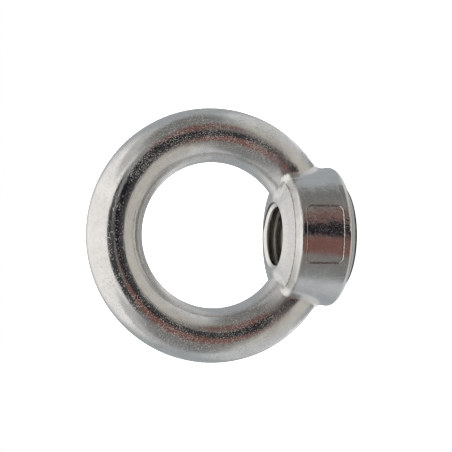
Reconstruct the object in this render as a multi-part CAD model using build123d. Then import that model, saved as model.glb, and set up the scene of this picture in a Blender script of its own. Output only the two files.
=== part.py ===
from build123d import *
import math
import os

# Lifting eye nut for an M16 thread, forged in one piece. All sizes in millimetres.
# The seating face lies on the plane Z = 0, the thread runs along Z, and the ring stands
# above the collar in the XZ plane.

# Ring
RING_OUTER_D = 61.2        # across the outside of the ring
BAR_D = 13.1               # round bar that the ring is made of
RING_RISE = 0.9            # lowest point of the ring's circle above the seating face
BLEND_R = 2.9              # blend where the bar enters the collar

# Collar: a cone that narrows towards the eye, under a slightly crowned face
COLLAR_D = 34.4            # widest diameter, where the side meets the base bevel
COLLAR_DRAFT = 9.5         # half angle of the side, degrees
SEAT_D = 26.0              # flat seating face
SEAT_LAND = 0.3            # height of the upright wall round the seating face
BASE_BEVEL = 2.7           # height of the upper edge of the bevel round the seating face
BASE_EDGE_R = 1.0          # rounding of that edge
CROWN_Z = 16.75            # height of the crowned face at the mouth of the hole
CROWN_ANGLE = 14.0         # fall of the crowned face away from the hole, degrees
SHOULDER_RUN = 1.45        # bevel between the crowned face and the side: its reach inwards
SHOULDER_DROP = 0.74       # and downwards, from where the two would meet
SHOULDER_R = 1.2           # rounding between that bevel and the side

# Threaded hole, drawn at the roots of its thread
THREAD_D = 16.0
LEAD_IN = 0.2              # 45 degree bevel at both mouths

# Marking panel sunk into the side of the collar, left blank
PANEL_W = 13.2
PANEL_H = 8.35
PANEL_Z = 8.8              # height of the panel's centre
PANEL_CORNER_R = 1.2
PANEL_DEPTH = 0.3
PANEL_EDGE_R = 0.18        # rounding of the panel's rim

BAR_R = BAR_D / 2
BAR_LINE_R = RING_OUTER_D / 2 - BAR_R
RING_CENTRE_Z = RING_RISE + RING_OUTER_D / 2
COLLAR_R = COLLAR_D / 2
THREAD_R = THREAD_D / 2
MOUTH_R = THREAD_R + LEAD_IN
SIDE_SLOPE = math.tan(math.radians(COLLAR_DRAFT))
CROWN_SLOPE = math.tan(math.radians(CROWN_ANGLE))


def side_radius(z):
    """Radius of the collar's conical side at height z."""
    return COLLAR_R - (z - BASE_BEVEL) * SIDE_SLOPE


def crown_height(radius):
    """Height of the crowned face at a radius from the thread axis."""
    return CROWN_Z + (MOUTH_R - radius) * CROWN_SLOPE


def shoulder_corner():
    """Radius and height where the side and the crowned face would meet without their bevel."""
    radius = side_radius(crown_height(0)) / (1 - CROWN_SLOPE * SIDE_SLOPE)
    return radius, crown_height(radius)


def make_collar():
    """Turned body of the collar, before its hole is made."""
    corner_r, corner_z = shoulder_corner()
    crown_r = corner_r - SHOULDER_RUN
    shoulder_z = corner_z - SHOULDER_DROP
    land = [(SEAT_D / 2, 0), (SEAT_D / 2, SEAT_LAND)]
    base = (COLLAR_R, BASE_BEVEL)
    shoulder = (side_radius(shoulder_z), shoulder_z)
    crown = [(crown_r, crown_height(crown_r)), (0, crown_height(0))]
    outline = make_face(Plane.XZ * Polyline((0, 0), *land, base, shoulder, *crown, close=True))
    outline = fillet(corner_at(outline, base), BASE_EDGE_R)
    outline = fillet(corner_at(outline, shoulder), SHOULDER_R)
    return revolve(outline, Axis.Z)


def corner_at(outline, place):
    """The corner of an outline that lies nearest to a place (radius, height)."""
    radius, height = place
    return outline.vertices().sort_by_distance((radius, 0, height))[0]


def make_ring():
    """Ring of round bar. Its seam lies at the top, clear of the collar."""
    bar = Pos(BAR_LINE_R, 0) * Circle(BAR_R)
    return Pos(0, 0, RING_CENTRE_Z) * Rot(0, -90, 0) * revolve(bar, Axis.Y)


def make_forging():
    """Ring and collar in one, blended along the lines where the bar enters the collar."""
    forging = make_collar() + make_ring()
    entry_lines = forging.edges().filter_by(GeomType.BSPLINE)
    return fillet(entry_lines, BLEND_R)


def make_hole():
    """The metal that the threaded hole takes away, bevelled at both mouths."""
    corners = [
        (0, -LEAD_IN),
        (MOUTH_R + LEAD_IN, -LEAD_IN),
        (THREAD_R, LEAD_IN),
        (THREAD_R, CROWN_Z - LEAD_IN),
        (MOUTH_R + LEAD_IN, CROWN_Z + LEAD_IN),
        (MOUTH_R, crown_height(0)),
        (0, crown_height(0)),
    ]
    return revolve(make_face(Plane.XZ * Polyline(*corners, close=True)), Axis.Z)


def make_panel_pocket():
    """Shallow pocket of even depth that follows the side of the collar."""
    outline = Plane.XZ * Pos(0, PANEL_Z) * RectangleRounded(PANEL_W, PANEL_H, PANEL_CORNER_R)
    block = extrude(outline, COLLAR_D)
    wall = PANEL_DEPTH / math.cos(math.radians(COLLAR_DRAFT))
    floor = Cone(side_radius(0) - wall, side_radius(CROWN_Z) - wall, CROWN_Z,
                 align=(Align.CENTER, Align.CENTER, Align.MIN))
    return block - floor


def is_panel_rim(edge):
    """True for an edge that lies on the side of the collar, along the outline of the panel."""
    middle = edge.position_at(0.5)
    on_side = abs(math.hypot(middle.X, middle.Y) - side_radius(middle.Z)) < 0.01
    beside_panel = abs(middle.X) < PANEL_W / 2 + 0.01 and abs(middle.Z - PANEL_Z) < PANEL_H / 2 + 0.01
    return on_side and beside_panel and middle.Y < 0


def sink_panel(body):
    """Sink the marking panel into the body and round its rim."""
    sunk = body - make_panel_pocket()
    return fillet(sunk.edges().filter_by(is_panel_rim), PANEL_EDGE_R)


def make_eye_nut():
    """The finished eye nut."""
    return sink_panel(make_forging() - make_hole())


os.makedirs("parts", exist_ok=True)
export_step(make_eye_nut(), "parts/eye_nut.step")
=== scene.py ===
import math
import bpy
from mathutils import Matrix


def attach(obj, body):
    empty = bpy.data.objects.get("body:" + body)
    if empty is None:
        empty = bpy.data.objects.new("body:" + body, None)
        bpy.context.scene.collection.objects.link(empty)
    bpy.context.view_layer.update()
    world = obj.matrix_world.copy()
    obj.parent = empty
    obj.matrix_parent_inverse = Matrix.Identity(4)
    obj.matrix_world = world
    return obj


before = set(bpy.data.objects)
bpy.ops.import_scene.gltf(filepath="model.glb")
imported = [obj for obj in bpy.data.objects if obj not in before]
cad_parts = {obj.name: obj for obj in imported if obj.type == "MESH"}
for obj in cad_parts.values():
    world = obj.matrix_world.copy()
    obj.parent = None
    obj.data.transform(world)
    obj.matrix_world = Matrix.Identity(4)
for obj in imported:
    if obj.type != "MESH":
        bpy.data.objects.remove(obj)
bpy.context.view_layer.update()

from types import SimpleNamespace

import bpy
import bmesh
from mathutils import Matrix, Vector

# Lifting eye nut in tumbled stainless steel, seen from the front of its ring, slightly from above.
# Lengths are metres, in the frame of the CAD part: seating face on z = 0, thread along z.

NODE = "eye_nut"
BODY = "root"

# ---- Camera: the nut lies turned by a quarter in the picture, so the camera is rolled with it
CAMERA_PLACE = Vector((-0.00831, -0.21933, 0.08376))
CAMERA_RIGHT = Vector((0.0062, -0.2446, -0.9696))
CAMERA_UP = Vector((0.9989, -0.0434, 0.0173))
CAMERA_BACK = Vector((-0.0463, -0.9687, 0.2440))
CAMERA_LENS_MM = 74.78
CAMERA_SENSOR_MM = 36.0
CAMERA_CLIP = (0.01, 20.0)

# ---- Floor and lamp
FLOOR_RADIUS = 4.0
FLOOR_SIDES = 96
FLOOR_DROP = 0.00002         # keeps the floor clear of the seating face
FLOOR_SHADE = 0.93
FLOOR_ROUGHNESS = 0.9
FLOOR_GLOW = 1.0             # makes the floor as white as the backdrop
LAMP_PLACE = Vector((0.2, -0.3, 1.8))
LAMP_SIZE = 2.0
LAMP_POWER = 20.0

# ---- Surroundings that the metal mirrors, laid over each other in this order. Places and half
# sizes are degrees from the camera's own direction, to its right and upwards.
BASE_COLOUR = (0.41, 0.435, 0.45)
SURROUNDINGS = [
    # name, colour, strength, centre, half size, softness, tilt
    ("window", (1.05, 1.02, 0.99), 1.0, (-69, 0), (73, 84), 0.28, 0),
    ("right_wall", (0.60, 0.575, 0.525), 1.0, (55, 0), (48, 64), 0.30, 0),
    ("upper_card", (0.72, 0.72, 0.72), 0.9, (62, 92), (38, 34), 0.40, 0),
    ("lower_card", (0.68, 0.69, 0.70), 0.9, (50, -92), (42, 40), 0.40, 0),
    ("upper_glow", (1.0, 1.0, 1.0), 0.9, (122, 112), (34, 34), 0.35, 0),
    ("lower_glow", (1.0, 1.0, 1.0), 0.9, (116, -114), (44, 38), 0.35, 0),
    ("far_wall", (0.24, 0.228, 0.20), 1.0, (113, 0), (22, 75), 0.45, 0),
    ("upper_frame", (0.52, 0.52, 0.51), 0.9, (-26, 62), (23, 27), 0.30, 0),
    ("lower_frame", (0.50, 0.50, 0.50), 0.9, (-25, -56), (21, 30), 0.30, 0),
    ("dim_above", (0.185, 0.18, 0.17), 0.95, (3, 68), (25, 26), 0.40, 0),
    ("dim_below", (0.235, 0.24, 0.24), 0.95, (3, -54), (25, 24), 0.40, 0),
    ("person", (0.225, 0.215, 0.205), 1.0, (14, 2), (28, 60), 0.25, 0),
    ("upper_shirt", (0.190, 0.103, 0.09), 0.95, (19, 33), (14, 15), 0.35, 0),
    ("lower_shirt", (0.215, 0.095, 0.08), 0.95, (20, -15), (16, 16), 0.35, 0),
    ("camera", (0.052, 0.052, 0.056), 1.0, (-8, 1), (13, 28), 0.32, 0),
    ("sleeve", (0.015, 0.015, 0.02), 1.0, (17, 12), (23, 11), 0.28, -38),
    ("lens_light", (0.34, 0.34, 0.33), 0.75, (-1, 22), (6, 15), 0.45, 0),
    ("far_sleeve", (0.05, 0.048, 0.05), 0.95, (36, 4), (12, 12), 0.55, 0),
]
# Behind the nut the room gets darker: colour, and the degrees over which it takes over
BEHIND = ((0.46, 0.48, 0.505), (152, 169))
FARTHEST = ((0.26, 0.26, 0.27), (156, 180))
BACKDROP_COLOUR = (1.0, 1.0, 1.0)

# ---- Ring and collar, as the part has them
RING_CENTRE_Z = 0.0315
BAR_LINE_R = 0.02405         # circle that the middle of the ring's bar follows
BAR_R = 0.00655
CROWN_EDGE_R = 0.01369
CROWN_EDGE_Z = 0.01538
PANEL_Z = 0.0088
PANEL_HALF_W = 0.0066
PANEL_HALF_H = 0.004175
PANEL_CORNER_R = 0.0012

# ---- Finish, with painted shade and highlight where noted: pairs of shades that noise mixes, and single colours
STAINED = ((0.70, 0.695, 0.685), (0.765, 0.76, 0.75))
CROWN_MOTTLED = ((0.59, 0.60, 0.605), (0.68, 0.68, 0.675))
GROOVE_PAINTED_SHADE = ((0.34, 0.33, 0.30), (0.11, 0.10, 0.09))     # painted shade in the thread's grooves: deep in the bore, at its mouth
THREAD_STAINED = ((0.72, 0.715, 0.69), (0.79, 0.785, 0.765))
THREAD_SHADED = ((0.36, 0.35, 0.33), (0.66, 0.64, 0.60))       # painted shade deep in the bore: flanks, crests
# painted highlight on the base bevel
BEVEL_HIGHLIGHT = (0.95, 0.95, 0.93)
# painted shade on the land where the nut stands
LAND_SHADE = (0.12, 0.11, 0.10)
# painted shade along the rim of the marking panel
RIM_SHADE = (0.46, 0.43, 0.40)
# dark line along the crown's edge
EDGE_LINE_COLOUR = (0.22, 0.18, 0.13)
NICK_COLOUR = (0.10, 0.09, 0.08)
MIXED = (0.35, 0.65)         # levels of noise between which one shade gives way to the other

# Where a finish, a painted shade or a painted highlight sets in: each pair runs from none of it to all
# of it
RING_Z = (0.0165, 0.0185)
CROWN_R = (0.0139, 0.0136)
CROWN_Z = (0.0152, 0.0154)
BEVEL_Z = (0.0029, 0.0025)
LAND_Z = (0.00034, 0.00028)
GROOVE_R = (0.00823, 0.00819)
GROOVE_Z = (0.0172, 0.0169)
GROOVE_MOUTH_Z = (0.0150, 0.0160)
RIM_WIDTH = (0.00035, 0.00025)
RIM_Y = (-0.010, -0.012)
RIM_BREAKS = (0.62, 0.42)
EDGE_LINE_WIDTH = (0.00020, 0.00008)
EDGE_LINE_SHARE = (0.35, 0.60, 0.45, 1.0)    # noise from and to, share of the dark edge line from and to
NECK_TOP_Z = (0.0215, 0.0180)
NECK_FOOT_Z = (0.0135, 0.0145)
NECK_R = (0.0090, 0.0110)
INNER_REACH = (-0.0040, -0.0056)
ROUND_BAR = (0.00010, 0.00003)           # distance between the mesh and the true bar
WAVES_X = (-0.001, 0.002, 0.3, 1.0)      # x from and to, share of the waves from and to
DEEP_THREAD_Z = (0.0160, 0.0149)
BRIGHT_CREST_R = (0.00745, 0.00725)

# Roughness
PATCHY = (0.25, 0.75)        # levels of noise from the smoothest to the roughest patches
STEEL_ROUGHNESS = (0.07, 0.14)
COARSE_ROUGHNESS = 0.18      # added in the neck, on the base bevel and inside the ring
THREAD_ROUGHNESS = (0.18, 0.35)  # at the mouth, below it

# Depths of the relief, metres
DIMPLE_DEPTH = 0.00003
WAVE_DEPTH = 0.00013
STREAK_DEPTH = 0.00002
FLECK_DEPTH = 0.000035
GRAIN_DEPTH = 0.000015
SCRATCH_DEPTH = 0.00003
THREAD_STAIN_DEPTH = 0.00001

# Flecks gather in places, and more of them at both sides of the ring than at its top
CROWD_SHARE = 0.24
CROWD_SIDES = (0.008, 0.018, 0.0, 0.045)     # distance from x = 0, and what it adds
FLECK_LEVELS = (0.743, 0.845)
GRAIN_LEVELS = (0.72, 0.88)
FLECK_STRETCH = 0.7          # scale of flecks and streaks along the bar, against across it
STREAK_STRETCH = 0.12

# Marks on the front of the ring, from (x, z) to (x, z)
NICK = [((-0.0137, 0.0529), (-0.0158, 0.0517)), ((-0.0158, 0.0517), (-0.0146, 0.0510))]
SCRATCHES = [
    ((0.0055, 0.0561), (0.0065, 0.0554)),
    ((0.0049, 0.0566), (0.0056, 0.0567)),
    ((0.0001, 0.0573), (0.0000, 0.0563)),
    ((-0.0011, 0.0581), (-0.0013, 0.0572)),
]
MARK_HALF_W = 0.00016
MARKS_Y = (-0.003, -0.005)   # from none of a mark to all of it

# ---- Thread: M16 with 2 mm pitch. Its ridge is the metal that stands into the bore, and it
# ends in a shallow countersink at both mouths.
MOUTH_R = 0.00816            # rim of the countersinks, and root of the ridge inside the wall
UPPER_MOUTH_Z = 0.01671
LOWER_MOUTH_Z = 0.00004
FLANK_SLOPE = math.tan(math.radians(30.0))   # of the thread's flanks and of the countersinks
PITCH = 0.002
CREST_R = 0.00719
CREST_HALF_W = 0.00022
CREST_DISH = 0.00006         # depth of the hollow that thread forming leaves along the crest
# The hollow crest: steps from its lower to its upper corner, and their share of the depth
CREST_SHAPE = ((0.0, 0.0), (0.12, 0.0), (0.30, 0.8), (0.5, 1.0), (0.70, 0.8), (0.88, 0.0), (1.0, 0.0))
TOP_CREST_Z = 0.01598        # centre of the topmost crest on the +Y side
THINNEST_RIDGE = 0.00002     # less than this is left out where the ridge runs out
THREAD_TURNS = 9
STEPS_PER_TURN = 120
SHARP_ANGLE = math.radians(40)   # edges of the ridge that turn by more are kept sharp


# ---------------------------------------------------------------- node helpers

def new_node(tree, kind, **settings):
    """A shader node with its properties set."""
    node = tree.nodes.new(kind)
    for name, value in settings.items():
        setattr(node, name, value)
    return node


def feed(tree, socket, value):
    """Give a socket a constant or the output of another node."""
    if isinstance(value, bpy.types.NodeSocket):
        tree.links.new(value, socket)
    else:
        socket.default_value = value


def calc(tree, operation, *values):
    """Output of a math node."""
    node = new_node(tree, "ShaderNodeMath", operation=operation)
    for socket, value in zip(node.inputs, values):
        feed(tree, socket, value)
    return node.outputs[0]


def product(tree, first, *others):
    """Product of several values."""
    for value in others:
        first = calc(tree, "MULTIPLY", first, value)
    return first


def length(tree, *parts):
    """Length of a vector given by its parts, each at right angles to the others."""
    squares = [calc(tree, "MULTIPLY", part, part) for part in parts]
    total = squares[0]
    for square in squares[1:]:
        total = calc(tree, "ADD", total, square)
    return calc(tree, "SQRT", total)


def distance(tree, value, centre):
    """Distance of a value from a centre, either way."""
    return calc(tree, "ABSOLUTE", calc(tree, "SUBTRACT", value, centre))


def dot(tree, vector, axis):
    """Length of a vector along a fixed axis."""
    node = new_node(tree, "ShaderNodeVectorMath", operation="DOT_PRODUCT")
    feed(tree, node.inputs[0], vector)
    node.inputs[1].default_value = axis
    return node.outputs["Value"]


def ramp(tree, value, low, high, to_low=0.0, to_high=1.0):
    """Smooth step of a value between two limits, given in either order."""
    if low > high:
        low, high, to_low, to_high = high, low, to_high, to_low
    node = new_node(tree, "ShaderNodeMapRange", interpolation_type="SMOOTHSTEP", clamp=True)
    for name, given in (("Value", value), ("From Min", low), ("From Max", high),
                        ("To Min", to_low), ("To Max", to_high)):
        feed(tree, node.inputs[name], given)
    return node.outputs[0]


def blend_colour(tree, factor, below, above):
    """Colour between two colours."""
    node = new_node(tree, "ShaderNodeMix", data_type="RGBA")
    feed(tree, node.inputs[0], factor)
    feed(tree, node.inputs[6], (*below, 1) if isinstance(below, tuple) else below)
    feed(tree, node.inputs[7], (*above, 1) if isinstance(above, tuple) else above)
    return node.outputs[2]


def blend_vector(tree, factor, below, above):
    """Direction between two directions, of length 1."""
    node = new_node(tree, "ShaderNodeMix", data_type="VECTOR")
    feed(tree, node.inputs[0], factor)
    feed(tree, node.inputs[4], below)
    feed(tree, node.inputs[5], above)
    unit = new_node(tree, "ShaderNodeVectorMath", operation="NORMALIZE")
    feed(tree, unit.inputs[0], node.outputs[1])
    return unit.outputs[0]


def noise(tree, vector, scale, detail=2.0, roughness=0.5):
    """Value of a noise texture, around 0.5."""
    node = new_node(tree, "ShaderNodeTexNoise")
    feed(tree, node.inputs["Vector"], vector)
    node.inputs["Scale"].default_value = scale
    node.inputs["Detail"].default_value = detail
    node.inputs["Roughness"].default_value = roughness
    return node.outputs["Fac"]


def join(tree, x, y, z):
    """Vector of three values."""
    node = new_node(tree, "ShaderNodeCombineXYZ")
    for socket, value in zip(node.inputs, (x, y, z)):
        feed(tree, socket, value)
    return node.outputs[0]


def bump(tree, height, depth, normal=None):
    """Normal of a surface with a height from 0 to 1 times a depth in metres."""
    node = new_node(tree, "ShaderNodeBump")
    node.inputs["Distance"].default_value = depth
    feed(tree, node.inputs["Height"], height)
    if normal is not None:
        feed(tree, node.inputs["Normal"], normal)
    return node.outputs[0]


# ---------------------------------------------------------------- studio

def patch(tree, u, v, centre, size, soft, tilt):
    """1 inside an ellipse of the surroundings and 0 outside. All in degrees from the camera's
    own direction, u to its right and v upwards. soft is the share of the size that fades."""
    du = calc(tree, "SUBTRACT", u, centre[0])
    dv = calc(tree, "SUBTRACT", v, centre[1])
    c, s = math.cos(math.radians(tilt)), math.sin(math.radians(tilt))
    along = calc(tree, "ADD", calc(tree, "MULTIPLY", du, c / size[0]),
                 calc(tree, "MULTIPLY", dv, s / size[0]))
    across = calc(tree, "SUBTRACT", calc(tree, "MULTIPLY", dv, c / size[1]),
                  calc(tree, "MULTIPLY", du, s / size[1]))
    return ramp(tree, length(tree, along, across), 1 + soft, 1 - soft)


def make_studio():
    """Soft pale surroundings with the darker side of the room, where the photographer stands.
    What the camera sees of them directly is plain white."""
    world = bpy.data.worlds.new("studio")
    bpy.context.scene.world = world
    world.use_nodes = True
    tree = world.node_tree
    tree.nodes.clear()
    ray = new_node(tree, "ShaderNodeTexCoord").outputs["Generated"]
    right, up, back = (dot(tree, ray, axis) for axis in (CAMERA_RIGHT, CAMERA_UP, CAMERA_BACK))
    away = calc(tree, "DEGREES", calc(tree, "ARCCOSINE", back))
    spread = calc(tree, "DIVIDE", away, calc(tree, "MAXIMUM", length(tree, right, up), 0.0001))
    u = calc(tree, "MULTIPLY", right, spread)
    v = calc(tree, "MULTIPLY", up, spread)

    colour = BASE_COLOUR
    for _, tint, strength, centre, size, soft, tilt in SURROUNDINGS:
        factor = calc(tree, "MULTIPLY", patch(tree, u, v, centre, size, soft, tilt), strength)
        colour = blend_colour(tree, factor, colour, tint)
    for tint, degrees in (BEHIND, FARTHEST):
        colour = blend_colour(tree, ramp(tree, away, *degrees), colour, tint)

    seen = new_node(tree, "ShaderNodeLightPath").outputs["Is Camera Ray"]
    background = new_node(tree, "ShaderNodeBackground")
    feed(tree, background.inputs["Color"], blend_colour(tree, seen, colour, BACKDROP_COLOUR))
    output = new_node(tree, "ShaderNodeOutputWorld")
    tree.links.new(background.outputs[0], output.inputs["Surface"])


def make_floor():
    """Plain pale floor that the nut stands on. The metal mirrors the studio's colours instead."""
    bpy.ops.mesh.primitive_circle_add(vertices=FLOOR_SIDES, radius=FLOOR_RADIUS, fill_type="NGON",
                                      location=(0, 0, -FLOOR_DROP))
    floor = bpy.context.active_object
    floor.name = "floor"
    material = bpy.data.materials.new("pale_floor")
    material.use_nodes = True
    shader = material.node_tree.nodes["Principled BSDF"]
    shader.inputs["Base Color"].default_value = (FLOOR_SHADE, FLOOR_SHADE, FLOOR_SHADE, 1)
    shader.inputs["Roughness"].default_value = FLOOR_ROUGHNESS
    shader.inputs["Emission Color"].default_value = (1, 1, 1, 1)
    shader.inputs["Emission Strength"].default_value = FLOOR_GLOW
    floor.data.materials.append(material)
    floor.visible_glossy = False


def make_lights():
    """One large soft lamp overhead, for the floor."""
    lamp = bpy.data.lights.new("overhead", "AREA")
    lamp.shape = "DISK"
    lamp.size = LAMP_SIZE
    lamp.energy = LAMP_POWER
    holder = bpy.data.objects.new("overhead", lamp)
    holder.location = LAMP_PLACE
    holder.rotation_euler = (-LAMP_PLACE).to_track_quat("-Z", "Y").to_euler()
    holder.visible_glossy = False
    bpy.context.scene.collection.objects.link(holder)


def make_camera():
    """Camera that looks at the front of the ring, slightly from above."""
    data = bpy.data.cameras.new("camera")
    data.lens = CAMERA_LENS_MM
    data.sensor_width = CAMERA_SENSOR_MM
    data.clip_start, data.clip_end = CAMERA_CLIP
    camera = bpy.data.objects.new("camera", data)
    axes = Matrix((CAMERA_RIGHT, CAMERA_UP, CAMERA_BACK)).transposed()
    camera.matrix_world = Matrix.Translation(CAMERA_PLACE) @ axes.to_4x4()
    bpy.context.scene.collection.objects.link(camera)
    bpy.context.scene.camera = camera


# ---------------------------------------------------------------- steel

def new_steel(name):
    """A metal material and its shader."""
    material = bpy.data.materials.new(name)
    material.use_nodes = True
    shader = material.node_tree.nodes["Principled BSDF"]
    shader.inputs["Metallic"].default_value = 1.0
    return material, shader


def locate(tree):
    """Where a point of the metal lies, and its distance from the thread's axis."""
    place = new_node(tree, "ShaderNodeTexCoord").outputs["Object"]
    split = new_node(tree, "ShaderNodeSeparateXYZ")
    feed(tree, split.inputs[0], place)
    x, y, z = split.outputs
    return SimpleNamespace(place=place, x=x, y=y, z=z, from_axis=length(tree, x, y))


def locate_on_ring(tree, at):
    """Where the point lies on the ring as well: reach outwards from the middle line of its bar,
    length along that line, and how far it belongs to the ring and not to the collar."""
    at.height = calc(tree, "SUBTRACT", at.z, RING_CENTRE_Z)
    at.radius = length(tree, at.x, at.height)
    at.reach = calc(tree, "SUBTRACT", at.radius, BAR_LINE_R)
    at.along = calc(tree, "MULTIPLY", calc(tree, "ARCTAN2", at.x, at.height), BAR_LINE_R)
    at.on_ring = ramp(tree, at.z, *RING_Z)
    at.off_ring = calc(tree, "SUBTRACT", 1.0, at.on_ring)
    return at


def on_panel_rim(tree, at):
    """1 along the rim of the marking panel, broken up by noise: where painted shade lies along the rim.
    """
    across = calc(tree, "SUBTRACT", calc(tree, "ABSOLUTE", at.x), PANEL_HALF_W - PANEL_CORNER_R)
    upright = calc(tree, "SUBTRACT", distance(tree, at.z, PANEL_Z), PANEL_HALF_H - PANEL_CORNER_R)
    from_corner = length(tree, calc(tree, "MAXIMUM", across, 0.0), calc(tree, "MAXIMUM", upright, 0.0))
    from_rim = distance(tree, from_corner, PANEL_CORNER_R)
    shade_mix = noise(tree, at.place, scale=2600.0, detail=2.0, roughness=0.6)
    return product(tree, ramp(tree, from_rim, *RIM_WIDTH), ramp(tree, at.y, *RIM_Y),
                   ramp(tree, shade_mix, *RIM_BREAKS))


def on_lines(tree, at, lines):
    """1 along the middle of each line on the front of the ring, and 0 away from them."""
    total = 0.0
    for (x0, z0), (x1, z1) in lines:
        half = math.hypot(x1 - x0, z1 - z0) / 2
        c, s = (x1 - x0) / (2 * half), (z1 - z0) / (2 * half)
        du = calc(tree, "SUBTRACT", at.x, (x0 + x1) / 2)
        dv = calc(tree, "SUBTRACT", at.z, (z0 + z1) / 2)
        along = calc(tree, "ADD", calc(tree, "MULTIPLY", du, c), calc(tree, "MULTIPLY", dv, s))
        across = calc(tree, "SUBTRACT", calc(tree, "MULTIPLY", dv, c), calc(tree, "MULTIPLY", du, s))
        in_width = ramp(tree, calc(tree, "ABSOLUTE", across), MARK_HALF_W, 0.0)
        in_length = ramp(tree, calc(tree, "ABSOLUTE", along), half + MARK_HALF_W, half - MARK_HALF_W)
        total = calc(tree, "MAXIMUM", total, calc(tree, "MULTIPLY", in_width, in_length))
    return calc(tree, "MULTIPLY", total, ramp(tree, at.y, *MARKS_Y))


def steel_colour(tree, at):
    """Stained steel with a duller turned crown, a painted highlight on the base bevel over painted
    shade on the land where the nut stands, painted shade in the bore's grooves, painted shade
    along the panel's rim, a dark line along the crown's edge, and the nick."""
    stain = noise(tree, at.place, scale=260.0, detail=4.0, roughness=0.6)
    colour = blend_colour(tree, ramp(tree, stain, *MIXED), *STAINED)

    on_crown = product(tree, ramp(tree, at.from_axis, *CROWN_R), ramp(tree, at.z, *CROWN_Z), at.off_ring)
    mottle = noise(tree, at.place, scale=1900.0, detail=3.0, roughness=0.7)
    colour = blend_colour(tree, on_crown, colour,
                          blend_colour(tree, ramp(tree, mottle, *MIXED), *CROWN_MOTTLED))

    # Painted highlight on the base bevel
    colour = blend_colour(tree, ramp(tree, at.z, *BEVEL_Z), colour, BEVEL_HIGHLIGHT)
    # Painted shade on the land where the nut stands
    colour = blend_colour(tree, ramp(tree, at.z, *LAND_Z), colour, LAND_SHADE)

    # Painted shade in the bore's grooves, darkest near the mouth
    shaded_bore = calc(tree, "MULTIPLY", ramp(tree, at.from_axis, *GROOVE_R), ramp(tree, at.z, *GROOVE_Z))
    colour = blend_colour(tree, shaded_bore, colour,
                          blend_colour(tree, ramp(tree, at.z, *GROOVE_MOUTH_Z), *GROOVE_PAINTED_SHADE))

    # Painted shade along the rim of the marking panel
    colour = blend_colour(tree, on_panel_rim(tree, at), colour, RIM_SHADE)

    # A dark line along the crown's edge, broken up by noise
    from_edge = length(tree, calc(tree, "SUBTRACT", at.from_axis, CROWN_EDGE_R),
                       calc(tree, "SUBTRACT", at.z, CROWN_EDGE_Z))
    ragged = noise(tree, at.place, scale=1500.0)
    edge_line = calc(tree, "MULTIPLY", ramp(tree, from_edge, *EDGE_LINE_WIDTH), ramp(tree, ragged, *EDGE_LINE_SHARE))
    colour = blend_colour(tree, edge_line, colour, EDGE_LINE_COLOUR)
    return blend_colour(tree, on_lines(tree, at, NICK), colour, NICK_COLOUR)


def steel_roughness(tree, at):
    """Patchy, and coarser in the neck where the ring flows into the collar, on the base bevel
    and round the inside of the ring."""
    patchy = noise(tree, at.place, scale=700.0, detail=3.0, roughness=0.6)
    neck = product(tree, ramp(tree, at.z, *NECK_TOP_Z), ramp(tree, at.from_axis, *NECK_R),
                   ramp(tree, at.z, *NECK_FOOT_Z))
    inner = calc(tree, "MULTIPLY", ramp(tree, at.reach, *INNER_REACH), at.on_ring)
    coarse = calc(tree, "MAXIMUM", neck, ramp(tree, at.z, *BEVEL_Z))
    coarse = calc(tree, "MAXIMUM", coarse, inner)
    return calc(tree, "ADD", ramp(tree, patchy, *PATCHY, *STEEL_ROUGHNESS),
                calc(tree, "MULTIPLY", coarse, COARSE_ROUGHNESS))


def round_normal(tree, at):
    """Normal of the true round bar where the surface lies on it, and of the mesh elsewhere."""
    share = calc(tree, "DIVIDE", at.reach, at.radius)
    outwards = join(tree, calc(tree, "MULTIPLY", at.x, share), at.y,
                    calc(tree, "MULTIPLY", at.height, share))
    turned = new_node(tree, "ShaderNodeVectorTransform", vector_type="NORMAL",
                      convert_from="OBJECT", convert_to="WORLD")
    feed(tree, turned.inputs[0], outwards)
    off_bar = distance(tree, length(tree, at.reach, at.y), BAR_R)
    mesh_normal = new_node(tree, "ShaderNodeNewGeometry").outputs["Normal"]
    return blend_vector(tree, ramp(tree, off_bar, *ROUND_BAR), mesh_normal, turned.outputs[0])


def steel_relief(tree, at):
    """Normal with dimples all over, waves and grain on the collar, and on the ring streaks
    along its bar, flecks that gather in places, and scratches."""
    def along_bar(stretch):
        return join(tree, at.reach, at.y, calc(tree, "MULTIPLY", at.along, stretch))

    crowd = calc(tree, "MULTIPLY", noise(tree, at.place, scale=160.0), CROWD_SHARE)
    crowd = calc(tree, "ADD", crowd, ramp(tree, calc(tree, "ABSOLUTE", at.x), *CROWD_SIDES))
    fleck = noise(tree, along_bar(FLECK_STRETCH), scale=4600.0, detail=2.0, roughness=0.6)
    fleck = ramp(tree, calc(tree, "ADD", fleck, crowd), *FLECK_LEVELS)
    grain = noise(tree, at.place, scale=5200.0, detail=2.0, roughness=0.6)
    grain = ramp(tree, calc(tree, "ADD", grain, crowd), *GRAIN_LEVELS)
    waves = calc(tree, "MULTIPLY", noise(tree, at.place, scale=540.0), ramp(tree, at.x, *WAVES_X))
    streaks = noise(tree, along_bar(STREAK_STRETCH), scale=2500.0)

    normal = bump(tree, noise(tree, at.place, scale=330.0), DIMPLE_DEPTH, round_normal(tree, at))
    normal = bump(tree, calc(tree, "MULTIPLY", waves, at.off_ring), WAVE_DEPTH, normal)
    normal = bump(tree, calc(tree, "MULTIPLY", streaks, at.on_ring), STREAK_DEPTH, normal)
    normal = bump(tree, calc(tree, "MULTIPLY", fleck, at.on_ring), -FLECK_DEPTH, normal)
    normal = bump(tree, calc(tree, "MULTIPLY", grain, at.off_ring), -GRAIN_DEPTH, normal)
    return bump(tree, on_lines(tree, at, SCRATCHES), -SCRATCH_DEPTH, normal)


def make_steel():
    """Tumbled stainless steel of the nut."""
    material, shader = new_steel("tumbled_stainless")
    tree = material.node_tree
    at = locate_on_ring(tree, locate(tree))
    feed(tree, shader.inputs["Base Color"], steel_colour(tree, at))
    feed(tree, shader.inputs["Roughness"], steel_roughness(tree, at))
    feed(tree, shader.inputs["Normal"], steel_relief(tree, at))
    return material


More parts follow.
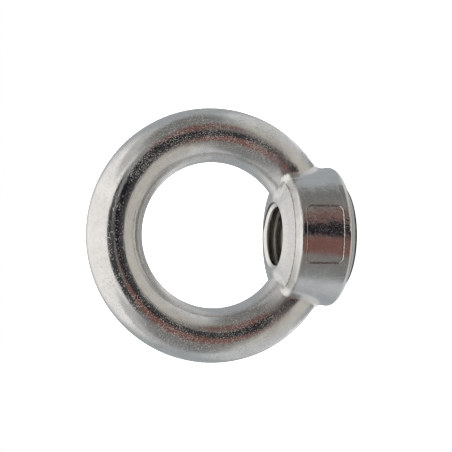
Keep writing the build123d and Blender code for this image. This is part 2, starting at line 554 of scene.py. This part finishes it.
def make_thread_steel():
    """Steel of the thread: clean at the mouth, and below it painted shade, with brighter crests and
    duller flanks.
    """
    material, shader = new_steel("thread_steel")
    tree = material.node_tree
    at = locate(tree)
    stain = noise(tree, at.place, scale=900.0, detail=3.0, roughness=0.6)
    clean = blend_colour(tree, ramp(tree, stain, *MIXED), *THREAD_STAINED)
    # Painted shade below the mouth, heavier on the flanks than on the crests
    shade_mix = blend_colour(tree, ramp(tree, at.from_axis, *BRIGHT_CREST_R), *THREAD_SHADED)
    colour = blend_colour(tree, ramp(tree, at.z, *DEEP_THREAD_Z), clean, shade_mix)
    feed(tree, shader.inputs["Base Color"], colour)
    feed(tree, shader.inputs["Roughness"], ramp(tree, at.z, *DEEP_THREAD_Z, *THREAD_ROUGHNESS))
    feed(tree, shader.inputs["Normal"], bump(tree, stain, THREAD_STAIN_DEPTH))
    return material


# ---------------------------------------------------------------- thread

def countersink_top(radius):
    """Height of the upper countersink at a radius."""
    return UPPER_MOUTH_Z - (MOUTH_R - radius) * FLANK_SLOPE


def countersink_bottom(radius):
    """Height of the lower countersink at a radius."""
    return LOWER_MOUTH_Z + (MOUTH_R - radius) * FLANK_SLOPE


def ridge_profile(crest_z):
    """Corners (radius, height) of the ridge's section where its crest is at a height, cut off
    by both countersinks, or None where they leave nothing of it."""
    low, high = crest_z - CREST_HALF_W, crest_z + CREST_HALF_W
    cut = max(low - countersink_top(CREST_R), countersink_bottom(CREST_R) - high, 0)
    inner = CREST_R + cut / (2 * FLANK_SLOPE)
    if inner > MOUTH_R - THINNEST_RIDGE:
        return None

    def upper(radius):
        return min(high + (radius - CREST_R) * FLANK_SLOPE, countersink_top(radius))

    def lower(radius):
        return max(low - (radius - CREST_R) * FLANK_SLOPE, countersink_bottom(radius))

    bottom, top = lower(inner), upper(inner)
    dish = CREST_DISH * (top - bottom) / (2 * CREST_HALF_W)
    crest = [(inner + share * dish, bottom + step * (top - bottom)) for step, share in CREST_SHAPE]
    return [(MOUTH_R, lower(MOUTH_R)), *crest, (MOUTH_R, upper(MOUTH_R))]


def make_thread(steel):
    """The right-hand ridge of the thread, one long strip of mesh that winds up the bore."""
    bm = bmesh.new()
    rows = []
    for step in range(-THREAD_TURNS * STEPS_PER_TURN, STEPS_PER_TURN + 1):
        turn = step / STEPS_PER_TURN
        profile = ridge_profile(TOP_CREST_Z + turn * PITCH)
        if profile is None:
            continue
        angle = math.pi / 2 + turn * math.tau
        rows.append([bm.verts.new((radius * math.cos(angle), radius * math.sin(angle), height))
                     for radius, height in profile])
    for low, high in zip(rows, rows[1:]):
        for k in range(len(low) - 1):
            face = bm.faces.new((low[k], low[k + 1], high[k + 1], high[k]))
            face.smooth = True
    bmesh.ops.recalc_face_normals(bm, faces=bm.faces)
    for edge in bm.edges:
        if len(edge.link_faces) == 2 and edge.calc_face_angle() > SHARP_ANGLE:
            edge.smooth = False
    mesh = bpy.data.meshes.new("thread_ridge")
    bm.to_mesh(mesh)
    bm.free()
    mesh.materials.append(steel)
    ridge = bpy.data.objects.new("thread_ridge", mesh)
    bpy.context.scene.collection.objects.link(ridge)
    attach(ridge, BODY)


def dress_nut(steel):
    """Give the CAD part its steel."""
    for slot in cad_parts[NODE].material_slots:
        slot.material = steel


bpy.context.scene.view_settings.view_transform = "Standard"
make_camera()
make_studio()
make_floor()
make_lights()
dress_nut(make_steel())
make_thread(make_thread_steel())
